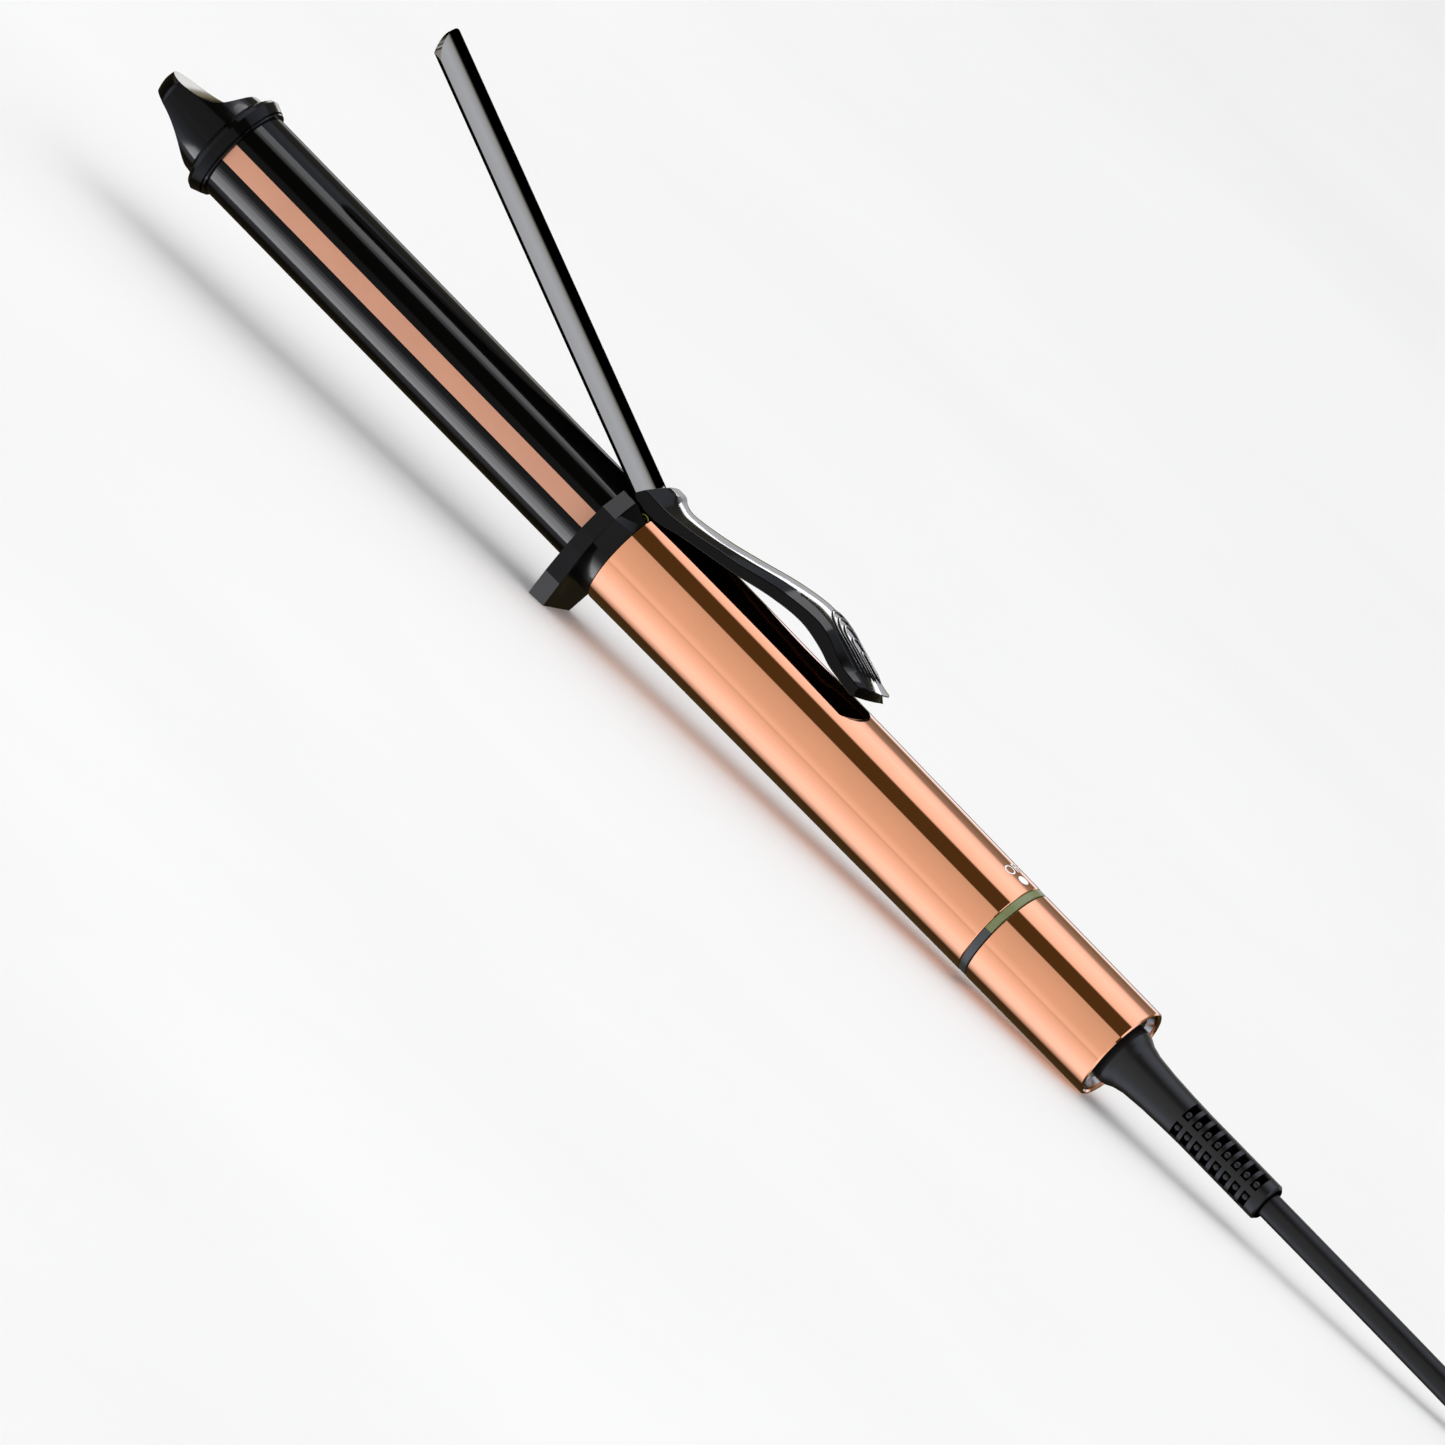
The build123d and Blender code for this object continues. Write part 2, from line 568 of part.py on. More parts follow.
def make_relief():
    """Strain relief: flared base, smooth neck, then ribs cut by four rows of slots."""
    neck = turned(
        (RELIEF_BASE_X, 0), (RELIEF_BASE_X, RELIEF_BASE_R), (181.0, RELIEF_BASE_R), (182.4, 7.9), (184.2, 7.0),
        (187.0, 6.3), (193.0, 5.75), (200.0, 5.45), (206.0, RELIEF_RIB_R), (RELIEF_BACK_X - 0.8, RELIEF_RIB_R),
        (RELIEF_BACK_X, RELIEF_RIB_R - 0.8), (RELIEF_BACK_X, 0),
    )
    cutters = None
    for row in range(RELIEF_ROWS):
        x0 = 202.3 + row * RELIEF_PITCH
        groove = pipe(x0, x0 + 2.2, RELIEF_RIB_R + 1, RELIEF_CORE_R)
        cutters = groove if cutters is None else cutters + groove
    spines = block(200, 232, -10, 10, -0.8, 0.8) + block(200, 232, -1.4, 1.4, -10, 10)
    return neck - (cutters - spines)


# ---- cord, hank and plug, drawn where they lie on the table ----
def cord_route():
    """Corner points of the cord from the strain relief to the hank."""
    leave = placed(Pos(RELIEF_BACK_X, 0, 0) * Vertex(0, 0, 0)).center()
    slope = math.tan(math.radians(TILT))
    return [
        (leave.X, 0, leave.Z),
        (286.0, 0, leave.Z - (286.0 - leave.X) * slope),
        (322.0, 6.2, 4.7),
        (345.0, 22.5, CORD_D / 2 + 0.1),
    ]


def corner_radii(points):
    """Each corner's arc: 0.45 of the shorter run over the tangent of half the turn."""
    radii = []
    for before, at, after in zip(points, points[1:], points[2:]):
        run_in = Vector(*at) - Vector(*before)
        run_out = Vector(*after) - Vector(*at)
        half = math.radians(run_in.get_angle(run_out)) / 2
        radii.append(0.45 * min(run_in.length, run_out.length) / math.tan(half))
    return radii


def tube_along(points):
    """Round cord along straight runs joined by tangent arcs."""
    radii = corner_radii(points)
    path = FilletPolyline(*points, radius=radii)
    print("cord radii", [round(r) for r in radii], "length", round(path.length, 1))
    return sweep(Plane(origin=path @ 0, z_dir=path % 0) * Circle(CORD_D / 2), path)


def make_cord():
    """The cord from the strain relief to the hank."""
    return tube_along(cord_route()) - make_hank()


def make_cord_end():
    """The last of the cord, from the hank's top to the plug's relief."""
    route = [
        (PLUG_X - 81, 24.0, 10.2), (PLUG_X - 62, 20.5, 15.6), (PLUG_X - 45, 13.5, 19.9),
        (PLUG_X - 31, PLUG_Y, PLUG_Z), (PLUG_X - 19, PLUG_Y, PLUG_Z),
    ]
    return tube_along(route) - make_hank()


def hank_outline():
    """Outer outline of the folded hank: two round ends pulled in to a waist by the tie."""
    r = HANK_HALF_WIDTH
    waist = r - HANK_WAIST_IN
    return make_face([
        ThreePointArc((HANK_FRONT_X, r), (HANK_FRONT_X - r, 0), (HANK_FRONT_X, -r)),
        Spline((HANK_FRONT_X, -r), (HANK_MID_X, -waist), (HANK_BACK_X, -r), tangents=[(1, 0), (1, 0)]),
        ThreePointArc((HANK_BACK_X, -r), (HANK_BACK_X + r, 0), (HANK_BACK_X, r)),
        Spline((HANK_BACK_X, r), (HANK_MID_X, waist), (HANK_FRONT_X, r), tangents=[(-1, 0), (-1, 0)]),
    ])


def tie_ring(grow):
    """Rounded block that the tie wraps, grown by a distance."""
    half = HANK_HALF_WIDTH - HANK_WAIST_IN + grow
    ring = block(HANK_MID_X - TIE_WIDTH / 2, HANK_MID_X + TIE_WIDTH / 2, -half, half,
                 TIE_THICK - grow, HANK_HEIGHT + TIE_THICK + grow)
    return fillet(ring.edges().filter_by(Axis.X), 4.0 + grow)


def make_hank():
    """Closed outer shape of the folded cord, grooved where the tie sits."""
    slab = extrude(hank_outline(), HANK_HEIGHT)
    slab -= block(HANK_MID_X - TIE_WIDTH / 2, HANK_MID_X + TIE_WIDTH / 2, -60, 60, -1, 60)
    return slab + tie_ring(0)


def make_tie():
    """Hook-and-loop tie round the hank's waist."""
    return tie_ring(TIE_THICK) - tie_ring(0)


def make_plug_body():
    """Slim two-pin plug body lying on the hank, with its own short relief."""
    outline = Polyline((0, -12.5), (3, -17.2), (20, -17.6), (34, -12.0), (34, 12.0), (20, 17.6), (3, 17.2),
                       (0, 12.5), close=True)
    body = extrude(make_face(outline), 6.8, both=True)
    body = fillet(body.edges().filter_by(Axis.Z), 1.5)
    relief = Pos(-9, 0, 0) * Rot(0, 90, 0) * Cone(CORD_D / 2 + 0.9, 6.3, 19.9)
    return Pos(PLUG_X, PLUG_Y, PLUG_Z) * (body + relief)


def make_plug_pins():
    """Two round plug pins, 19 mm apart."""
    pins = []
    for y in (-9.5, 9.5):
        pin = rod(PLUG_X + 34.05, PLUG_X + 53, 2.0, PLUG_Y + y, PLUG_Z)
        pins.append(chamfer(pin.edges().sort_by(Axis.X)[-1], 0.7))
    return group(pins)


IRON_PARTS = {
    "barrel": make_barrel,
    "barrel_strip_near": lambda: make_strip(-1),
    "barrel_strip_far": lambda: make_strip(1),
    "tip_cap": make_tip_cap,
    "tip_bracket": make_tip_bracket,
    "tip_screw": make_tip_screw,
    "heater_block_upper": lambda: make_heater_block(1),
    "heater_block_lower": lambda: make_heater_block(-1),
    "ptc_heater": make_ptc_heater,
    "thermistor": make_thermistor,
    "thermal_fuse": make_thermal_fuse,
    "heater_leads": make_heater_leads,
    "barrel_bushing": make_bushing,
    "guard_collar": make_guard,
    "pivot_pin": make_pivot_pin,
    "torsion_springs": make_springs,
    "clamp_blade": make_blade,
    "blade_screws": make_blade_screws,
    "thumb_lever": make_lever,
    "handle_tube": make_handle,
    "core_left": lambda: make_core(-1),
    "core_right": lambda: make_core(1),
    "core_screws": make_core_screws,
    "circuit_board": make_board,
    "power_switch": make_triac,
    "capacitor": make_capacitor,
    "controller_chip": make_controller,
    "lamp_board": make_lamp_board,
    "status_lamps": make_lamps,
    "light_ring": lambda: make_ring(1),
    "ring_spacer": lambda: make_ring(-1),
    "temperature_dial": make_dial,
    "dial_wiper": make_wiper,
    "contact_track": make_track,
    "dial_detent": make_detent,
    "tail_bushing": make_tail_bushing,
    "swivel_housing": make_swivel_housing,
    "swivel_stem": make_stem,
    "slip_rings": make_slip_rings,
    "swivel_brushes": make_brushes,
    "stem_clip": make_stem_clip,
    "strain_relief": make_relief,
}
TABLE_PARTS = {
    "cord": make_cord,
    "cord_hank": make_hank,
    "cord_end": make_cord_end,
    "cord_tie": make_tie,
    "plug_body": make_plug_body,
    "plug_pins": make_plug_pins,
}

os.makedirs("parts", exist_ok=True)
for name, make in IRON_PARTS.items():
    export_step(placed(make()), f"parts/{name}.step")
for name, make in TABLE_PARTS.items():
    export_step(make(), f"parts/{name}.step")
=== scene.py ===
import json
import math

import bmesh
import bpy
from mathutils import Matrix, Vector


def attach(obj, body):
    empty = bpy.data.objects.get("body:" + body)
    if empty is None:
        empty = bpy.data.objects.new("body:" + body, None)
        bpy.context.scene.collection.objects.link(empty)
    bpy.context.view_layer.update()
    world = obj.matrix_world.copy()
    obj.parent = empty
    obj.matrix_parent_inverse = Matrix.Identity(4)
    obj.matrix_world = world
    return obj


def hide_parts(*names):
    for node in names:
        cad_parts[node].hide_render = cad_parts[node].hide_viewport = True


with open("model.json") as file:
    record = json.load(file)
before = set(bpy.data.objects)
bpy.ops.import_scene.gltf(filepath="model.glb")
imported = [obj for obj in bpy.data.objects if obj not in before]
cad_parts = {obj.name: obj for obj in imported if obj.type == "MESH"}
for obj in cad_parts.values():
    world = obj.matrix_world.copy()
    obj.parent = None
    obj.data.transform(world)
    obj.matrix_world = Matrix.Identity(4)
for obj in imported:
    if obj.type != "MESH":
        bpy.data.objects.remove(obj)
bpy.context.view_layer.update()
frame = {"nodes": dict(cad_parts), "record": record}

MM = 0.001
# The iron's own axes: X along the barrel to the cord, Z to the lever, tipped onto foot and tail rim.
FOOT_DROP, TAIL_R, FOOT_TO_TAIL = 22.85, 13.5, 180.0
TILT = math.atan2(FOOT_DROP - TAIL_R, FOOT_TO_TAIL)
CLAMP_OPEN = math.radians(20.3)
CORD_EXIT_X = 231.7
IRON = (
    Matrix.Translation(Vector((math.sin(TILT), 0, math.cos(TILT))) * FOOT_DROP * MM)
    @ Matrix.Rotation(TILT, 4, "Y")
    @ Matrix.Scale(MM, 4)
)
AROUND = IRON.to_quaternion()


def on_iron(x, y, z):
    """World point, in metres, of a point in the iron's own axes, in millimetres."""
    return IRON @ Vector((x, y, z))


def on_table(x, y, z):
    """World point, in metres, of a point on the table, in millimetres."""
    return Vector((x, y, z)) * MM


def on_round(x, radius, degrees):
    """Point on a round surface about the iron's axis, by the angle above its near side."""
    angle = math.radians(degrees)
    return x, -radius * math.cos(angle), radius * math.sin(angle)


# ---- camera ----
VIEW_TO_TAIL = math.radians(13.0)
VIEW_ABOVE = math.radians(9.1)
VIEW_ROLL = math.radians(45.69)
VIEW_WIDTH = 0.3487
VIEW_DISTANCE = 12.0
VIEW_AIM = (52.4, -2.0, -12.8)
SENSOR_WIDTH = 36.0


def make_camera():
    """Long lens from the iron's near side, rolled so that the iron runs down to the right."""
    toward = AROUND @ Vector((
        math.sin(VIEW_TO_TAIL),
        -math.cos(VIEW_TO_TAIL) * math.cos(VIEW_ABOVE),
        math.cos(VIEW_TO_TAIL) * math.sin(VIEW_ABOVE),
    ))
    along = AROUND @ Vector((1, 0, 0))
    along = (along - toward * along.dot(toward)).normalized()
    across = toward.cross(along)
    right = along * math.cos(VIEW_ROLL) + across * math.sin(VIEW_ROLL)
    up = across * math.cos(VIEW_ROLL) - along * math.sin(VIEW_ROLL)
    data = bpy.data.cameras.new("camera")
    data.sensor_width = SENSOR_WIDTH
    data.lens = VIEW_DISTANCE * SENSOR_WIDTH / VIEW_WIDTH
    data.clip_start, data.clip_end = 1.0, 120.0
    camera = bpy.data.objects.new("camera", data)
    bpy.context.scene.collection.objects.link(camera)
    turn = Matrix((right, up, toward)).transposed().to_4x4()
    camera.matrix_world = Matrix.Translation(on_iron(*VIEW_AIM) + toward * VIEW_DISTANCE) @ turn
    bpy.context.scene.camera = camera


# ---- materials ----
class Nodes:
    """Short way to build one node material."""

    def __init__(self, name):
        self.material = bpy.data.materials.new(name)
        self.material.use_nodes = True
        self.tree = self.material.node_tree
        self.shader = self.tree.nodes["Principled BSDF"]

    def add(self, kind, **inputs):
        node = self.tree.nodes.new(kind)
        for key, value in inputs.items():
            node.inputs[key.replace("_", " ")].default_value = value
        return node

    def link(self, out, into):
        self.tree.links.new(out, into)

    def noise(self, scale, detail=3.0, stretch=(1, 1, 1)):
        """Noise over the object's own coordinates, stretched along the axes."""
        place = self.add("ShaderNodeTexCoord")
        mapping = self.add("ShaderNodeMapping", Scale=stretch)
        noise = self.add("ShaderNodeTexNoise", Scale=scale, Detail=detail)
        self.link(place.outputs["Object"], mapping.inputs["Vector"])
        self.link(mapping.outputs["Vector"], noise.inputs["Vector"])
        return noise.outputs["Fac"]

    def spread(self, value, low, high):
        """value, taken from 0.3 to 0.7, spread from low to high."""
        node = self.add("ShaderNodeMapRange")
        for key, number in (("From Min", 0.3), ("From Max", 0.7), ("To Min", low), ("To Max", high)):
            node.inputs[key].default_value = number
        self.link(value, node.inputs["Value"])
        return node.outputs["Result"]

    def tint(self, value, first, second):
        """Colour that goes from first to second with value."""
        ramp = self.add("ShaderNodeValToRGB")
        ramp.color_ramp.elements[0].position = 0.35
        ramp.color_ramp.elements[1].position = 0.65
        ramp.color_ramp.elements[0].color = (*first, 1)
        ramp.color_ramp.elements[1].color = (*second, 1)
        self.link(value, ramp.inputs["Fac"])
        self.link(ramp.outputs["Color"], self.shader.inputs["Base Color"])

    def bump(self, height, strength, distance):
        node = self.add("ShaderNodeBump", Strength=strength, Distance=distance)
        self.link(height, node.inputs["Height"])
        self.link(node.outputs["Normal"], self.shader.inputs["Normal"])


def finish(
    name, colour, rough, metal=0.0, ior=1.5, grain=600, bump=0.05, stretch=(1, 1, 1), vary=0.12, **extra
):
    """A moulded, coated or metal finish: slight mottling, uneven gloss and a fine surface grain."""
    m = Nodes(name)
    fine = m.noise(grain, 4.0, stretch)
    broad = m.noise(60, 2.0, stretch)
    m.tint(broad, [c * (1 - vary) for c in colour], [min(c * (1 + vary), 1) for c in colour])
    m.link(m.spread(broad, rough * 0.9, rough * 1.12), m.shader.inputs["Roughness"])
    if bump:
        m.bump(fine, bump, 0.0001)
    m.shader.inputs["Metallic"].default_value = metal
    m.shader.inputs["IOR"].default_value = ior
    for key, value in extra.items():
        m.shader.inputs[key.replace("_", " ")].default_value = value
    return m.material


# How far the blade's faces look its own way up, where the painted grey reflection on its flanks ends and
# where the painted black of its crest begins.
PAINTED_REFLECTION_TO, CREST_FROM = 0.915, 0.94
# Distances from the iron's axis between which the strain relief goes from slot to surface, and across which
# its painted slot shade fades out.
SLOT_R, SURFACE_R = 4.6, 5.2


def blade_finish_painted_reflection():
    """Polished dark metal with painted reflection: grey on the flanks and black on the crest along the
    blade, by which way each face looks.
    """
    m = Nodes("blade_coat")
    place = m.add("ShaderNodeTexCoord")
    facing = m.add("ShaderNodeVectorMath")
    facing.operation = "DOT_PRODUCT"
    facing.inputs[1].default_value = AROUND @ Vector((math.sin(CLAMP_OPEN), 0, math.cos(CLAMP_OPEN)))
    m.link(place.outputs["Normal"], facing.inputs[0])
    # Painted reflection: grey base colour where faces look sideways, black where they look up along the
    # crest.
    ramp = m.add("ShaderNodeValToRGB")
    painted_reflection_stop, crest = ramp.color_ramp.elements
    painted_reflection_stop.position, crest.position = PAINTED_REFLECTION_TO, CREST_FROM
    painted_reflection_stop.color, crest.color = (0.245, 0.235, 0.205, 1), (0.003, 0.003, 0.003, 1)
    m.link(facing.outputs["Value"], ramp.inputs["Fac"])
    m.link(ramp.outputs["Color"], m.shader.inputs["Base Color"])
    m.link(m.spread(m.noise(60, 2.0), 0.08, 0.10), m.shader.inputs["Roughness"])
    m.shader.inputs["Metallic"].default_value = 1.0
    m.shader.inputs["Specular Tint"].default_value = (0, 0, 0, 1)
    return m.material


def relief_finish_painted_slot_shade():
    """Satin rubber with painted shade down in the slots: blacker there and without gloss."""
    m = Nodes("relief_rubber")
    place = m.add("ShaderNodeTexCoord")
    away = m.add("ShaderNodeVectorMath")
    away.operation = "SUBTRACT"
    away.inputs[1].default_value = on_iron(0, 0, 0)
    m.link(place.outputs["Object"], away.inputs[0])
    across = m.add("ShaderNodeVectorMath")
    across.operation = "CROSS_PRODUCT"
    across.inputs[1].default_value = AROUND @ Vector((1, 0, 0))
    m.link(away.outputs["Vector"], across.inputs[0])
    radius = m.add("ShaderNodeVectorMath")
    radius.operation = "LENGTH"
    m.link(across.outputs["Vector"], radius.inputs[0])
    # Painted shade: gloss falls to nothing towards the axis, down in the slots.
    gloss = m.add("ShaderNodeMapRange")
    gloss.inputs["From Min"].default_value = SLOT_R * MM
    gloss.inputs["From Max"].default_value = SURFACE_R * MM
    gloss.inputs["To Min"].default_value = 0.0
    gloss.inputs["To Max"].default_value = 0.5
    m.link(radius.outputs["Value"], gloss.inputs["Value"])
    m.link(gloss.outputs["Result"], m.shader.inputs["Specular IOR Level"])
    # Painted shade: near black in the slots, the rubber's own black on the surface.
    ramp = m.add("ShaderNodeValToRGB")
    ramp.color_ramp.elements[0].color = (0.0002, 0.0002, 0.0002, 1)
    ramp.color_ramp.elements[1].color = (0.0035, 0.0035, 0.0037, 1)
    ramp.color_ramp.elements[1].position = 0.5
    m.link(gloss.outputs["Result"], ramp.inputs["Fac"])
    m.link(ramp.outputs["Color"], m.shader.inputs["Base Color"])
    m.link(m.spread(m.noise(60, 2.0), 0.30, 0.36), m.shader.inputs["Roughness"])
    m.bump(m.noise(900, 4.0), 0.15, 0.0001)
    m.shader.inputs["IOR"].default_value = 1.42
    return m.material


ROSE = (0.80, 0.34, 0.17)
MATERIALS = {
    "rose_gold": finish(
        "rose_gold", ROSE, 0.045, 1.0, bump=0.0, vary=0.015, Coat_Weight=1.0, Coat_Roughness=0.03
    ),
    "rose_trim": finish("rose_trim", (0.64, 0.31, 0.20), 0.32, 0.35, bump=0.02, vary=0.03),
    "barrel_coat": finish("barrel_coat", (0.0012, 0.0012, 0.0013), 0.09, 0.0, 1.2, bump=0.0),
    "black_gloss": finish("black_gloss", (0.0016, 0.0016, 0.0018), 0.10, 0.0, 1.22, bump=0.01),
    "guard_black": finish("guard_black", (0.0030, 0.0030, 0.0032), 0.18, 0.0, 1.24, bump=0.02),
    "blade_coat": blade_finish_painted_reflection(),
    "black_plastic": finish("black_plastic", (0.011, 0.011, 0.012), 0.38, bump=0.2),
    "light_green": finish("light_green", (0.20, 0.24, 0.10), 0.25, bump=0.0, Transmission_Weight=0.25),
    "slate_plastic": finish("slate_plastic", (0.035, 0.042, 0.045), 0.25, bump=0.02),
    "bright_metal": finish("bright_metal", (0.34, 0.34, 0.34), 0.16, 1.0, bump=0.0),
    "steel": finish("steel", (0.50, 0.50, 0.50), 0.30, 1.0, bump=0.1, stretch=(14, 1, 1)),
    "aluminium": finish("aluminium", (0.72, 0.72, 0.73), 0.35, 1.0, bump=0.1, stretch=(1, 14, 14)),
    "brass": finish("brass", (0.42, 0.40, 0.10), 0.30, 1.0, bump=0.05),
    "ceramic": finish("ceramic", (0.72, 0.70, 0.63), 0.55, bump=0.2),
    "heatproof_plastic": finish("heatproof_plastic", (0.03, 0.028, 0.028), 0.5, bump=0.3),
    "core_plastic": finish("core_plastic", (0.045, 0.045, 0.048), 0.5, bump=0.3),
    "board_green": finish("board_green", (0.02, 0.09, 0.04), 0.35, bump=0.1),
    "yellow_film": finish("yellow_film", (0.65, 0.42, 0.05), 0.3, bump=0.05),
    "cord_black": finish("cord_black", (0.006, 0.006, 0.0065), 0.34, 0.0, 1.34, grain=900, bump=0.12),
    "relief_rubber": relief_finish_painted_slot_shade(),
    "lead_sleeve": finish("lead_sleeve", (0.6, 0.58, 0.54), 0.5, bump=0.1),
    "lamp_clear": finish("lamp_clear", (0.7, 0.85, 0.72), 0.1, bump=0.0, Transmission_Weight=0.6),
    "strap_fabric": finish(
        "strap_fabric", (0.012, 0.012, 0.014), 0.9, grain=1800, bump=0.8, Sheen_Weight=0.4
    ),
    "white_print": finish("white_print", (0.9, 0.88, 0.86), 0.5, grain=1500, bump=0.05),
}


def paint(obj, slot):
    """Give a piece the finish of a record slot."""
    obj.data.materials.clear()
    obj.data.materials.append(MATERIALS[slot])


def dress_frame():
    """Every CAD node gets its slot's finish."""
    for part in frame["record"]["subparts"]:
        paint(frame["nodes"][part["node"]], part["material_slot"])


# ---- cord ----
CORD_D = 6.8
HANK_FRONT_X, HANK_RUN = 364.0, 115.0
HANK_BACK_X = HANK_FRONT_X + HANK_RUN
PLUG_X, PLUG_Y, PLUG_Z = 453.0, 6.0, 20.7
OUTER, INNER = 27.4, 20.4
LOW, HIGH = CORD_D / 2, CORD_D / 2 + 7.0
LAST_HOME = HIGH + 6.4
# How far the tie pulls a straight run in, and the shares of that at the run's middle and nearer its ends.
WAIST_PULL, PULL_MIDDLE, PULL_ENDS = 8.4, 1.16, 0.42


def blended(a, b, share):
    """Smooth step from a to b."""
    share = min(max(share, 0.0), 1.0)
    return a + (b - a) * share * share * (3 - 2 * share)


def run_points(side, first, last, z0, z1):
    """Three points along one straight run, pulled in at the tie's waist; side is +1 back, -1 forward."""
    points = []
    for step in (1, 2, 3):
        share = step / 4
        x = HANK_FRONT_X + HANK_RUN * share if side > 0 else HANK_BACK_X - HANK_RUN * share
        pull = WAIST_PULL * (PULL_MIDDLE if step == 2 else PULL_ENDS)
        points.append((x, side * (blended(first, last, share) - pull), blended(z0, z1, share)))
    return points


def fold_points(centre, start, first, last, z0, z1):
    """Seven points round one fold, from the angle start (degrees) through half a turn clockwise."""
    points = []
    for step in range(7):
        share = step / 6
        angle = math.radians(start - 180 * share)
        r = blended(first, last, share) * 1.02
        points.append((centre + r * math.cos(angle), r * math.sin(angle), blended(z0, z1, share)))
    return points


def hank_points():
    """The folded length: four turns, two low and two high, the last coming up over the front fold."""
    turns = [
        (OUTER, OUTER, INNER, LOW, LOW, LOW),
        (INNER, INNER, INNER, LOW, LOW, HIGH),
        (INNER, INNER, OUTER, HIGH, HIGH, HIGH),
        (OUTER, OUTER, OUTER, HIGH, HIGH, LAST_HOME),
    ]
    points = []
    for out, back, home, z_out, z_back, z_home in turns:
        points += run_points(1, out, back, z_out, z_back)
        points += fold_points(HANK_BACK_X, 90, back, back, z_back, z_back)
        points += run_points(-1, back, back, z_back, z_back)
        points += fold_points(HANK_FRONT_X, -90, back, home, z_back, z_home)
    return points


def cord_points():
    """The whole cord: off the strain relief, down to the table, round the hank and up to the plug."""
    leave = on_iron(CORD_EXIT_X, 0, 0) / MM
    bend_x = 286.0
    drop = (bend_x - leave.x) * math.tan(TILT)
    route = [
        tuple(leave), (bend_x, 0.0, leave.z - drop), (322.0, 6.2, 4.7), (345.0, 22.5, 3.5),
        (HANK_FRONT_X, 26.8, LOW),
    ]
    route += hank_points()
    route += [
        (PLUG_X - 72, 23.0, 17.6), (PLUG_X - 57, 18.5, 18.8), (PLUG_X - 43, 12.0, 20.8),
        (PLUG_X - 31, PLUG_Y + 0.8, PLUG_Z + 0.2), (PLUG_X - 19, PLUG_Y, PLUG_Z),
    ]
    return route


def make_cord():
    """Round mains lead as one smooth curve."""
    points = cord_points()
    data = bpy.data.curves.new("mains_cord", "CURVE")
    data.dimensions = "3D"
    spline = data.splines.new("NURBS")
    spline.points.add(len(points) - 1)
    for point, place in zip(spline.points, points):
        point.co = (*(Vector(place) * MM), 1)
    spline.order_u = 3
    spline.use_endpoint_u = True
    spline.resolution_u = 8
    data.bevel_depth = CORD_D / 2 * MM
    data.bevel_resolution = 6
    data.use_fill_caps = True
    cord = bpy.data.objects.new("mains_cord", data)
    bpy.context.scene.collection.objects.link(cord)
    paint(cord, "cord_black")
    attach(cord, "iron")
    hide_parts("cord", "cord_hank", "cord_end")
    return cord


# ---- lever ----
LEVER_HALF = 10.5
LEVER_FRONT, LEVER_BACK = -0.5, 77.3
LEVER_THIN, EDGE_ROUND = 1.2, 0.22
# The front's slant, the height where it meets LEVER_FRONT, and how far back it pulls the lever.
SLANT, SLANT_Z, SLANT_TO = 0.643, 12.8, 8.0
# The thumb end's rounding: where it starts, its length, its depth at the sides and its squareness.
ROUND_FROM, ROUND_LENGTH, ROUND_DEPTH, ROUND_POWER = 58.0, 19.0, 4.3, 2.4
# Radii that the underside keeps clear of: the handle's, and the barrel's once the clamp is shut.
HANDLE_ROOM_R, BARREL_ROOM_R = 15.05, 12.72
# The underside follows the barrel in front of GUARD_BACK_X, through the turn that shuts the clamp.
GUARD_BACK_X, TURN_X, TURN_SINE, TURN_COSINE, TURN_DROP = 5.8, 8.0, 0.342, 0.94, 0.58
# Heights along the lever: its side's lower edge, its side's upper edge and its crown.
LEVER_LOW = [
    (-0.5, 12.6), (1.3, 11.4), (6.9, 10.9), (15.9, 13.0), (31.3, 15.9), (42.0, 18.3), (51.4, 19.3),
    (59.7, 18.0), (65.6, 16.6), (72.7, 15.8), (78.0, 15.3),
]
LEVER_TOP = [
    (-0.5, 14.85), (7.0, 14.75), (11.4, 15.1), (17.6, 16.0), (24.4, 17.4), (30.2, 18.4), (42.1, 21.2),
    (53.9, 22.5), (59.8, 21.5), (64.2, 20.1), (68.6, 18.9), (72.8, 18.5), (78.0, 18.2),
]
LEVER_CROWN = [
    (-0.5, 18.6), (4.4, 18.5), (7.4, 17.5), (10.8, 17.1), (21.5, 18.8), (30.5, 21.1), (40.4, 23.8),
    (49.4, 25.4), (55.7, 25.2), (61.9, 23.9), (68.0, 22.3), (74.3, 20.5), (78.0, 19.8),
]
# Half-width of the crown along the lever.
LEVER_FLAT = [(-0.5, 4.2), (5.0, 4.4), (10.8, 6.0), (21.0, 7.2), (40.0, 8.2), (56.0, 8.7), (78.0, 8.7)]


def height(table, x):
    """Smooth curve through a table's points, by Hermite spans."""
    x = min(max(x, table[0][0]), table[-1][0])
    k = max(i for i in range(len(table) - 1) if table[i][0] <= x)
    (x0, z0), (x1, z1) = table[k], table[k + 1]
    before, after = table[max(k - 1, 0)], table[min(k + 2, len(table) - 1)]
    span = x1 - x0
    m0 = (z1 - before[1]) / (x1 - before[0]) * span
    m1 = (after[1] - z0) / (after[0] - x0) * span
    t = (x - x0) / span
    return (
        z0 * (2 * t**3 - 3 * t**2 + 1) + m0 * (t**3 - 2 * t**2 + t)
        + z1 * (3 * t**2 - 2 * t**3) + m1 * (t**3 - t**2)
    )


def lever_top(x, y):
    """Top of the lever: bevelled sides and a crown."""
    flat, side, crown = height(LEVER_FLAT, x), height(LEVER_TOP, x), height(LEVER_CROWN, x)
    shoulder = side + (crown - side) * blended(0.97, 0.64, (x - 4) / 8)
    if abs(y) >= flat:
        return side + (shoulder - side) * (LEVER_HALF - abs(y)) / (LEVER_HALF - flat)
    return shoulder + (crown - shoulder) * (1 - (y / flat) ** 2)


